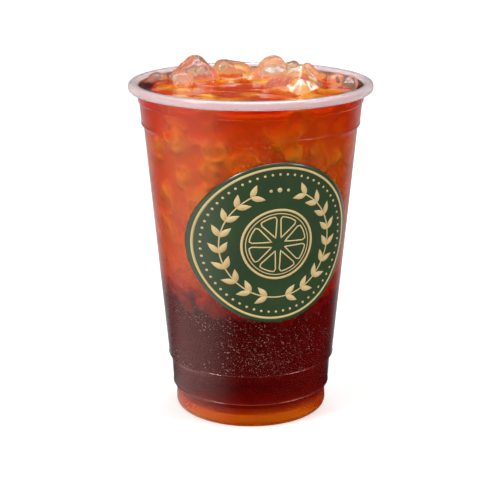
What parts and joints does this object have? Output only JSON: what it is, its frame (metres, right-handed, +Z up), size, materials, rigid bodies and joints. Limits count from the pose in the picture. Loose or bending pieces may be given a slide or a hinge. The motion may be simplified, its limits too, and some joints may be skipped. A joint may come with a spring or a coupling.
{
  "type": "iced tea in a clear plastic cup",
  "caption": "Tall clear plastic cup with a rolled rim and stepped bands, filled nearly to the brim with amber iced tea and lumps of ice; a round printed badge on the wall.",
  "frame": {"origin": "middle of the foot ring's underside, on the table", "axes": "+Z up along the cup's axis; -Y is the front, with the badge a little to its right; +X is the viewer's right"},
  "size_m": [0.098, 0.098, 0.1448],
  "materials": {
    "clear_plastic": "clear thermoformed plastic, smooth and glossy, with fine condensation outside",
    "tea": "clear amber to red-brown tea, wet and glossy",
    "badge_print": "dark green print with pale gold lines, satin",
    "ice": "clear melting ice, wet, with rounded corners"
  },
  "bodies": {
    "root": {"cup": "clear_plastic", "drink": "tea", "badge": "badge_print", "ice_dome": "ice", "ice_block": "ice", "ice_back": "ice", "ice_slab": "ice", "ice_corner": "ice", "ice_behind": "ice", "ice_small": "ice", "ice_pebble": "ice", "ice_edge": "ice", "ice_flat": "ice"}
  },
  "joints": []
}
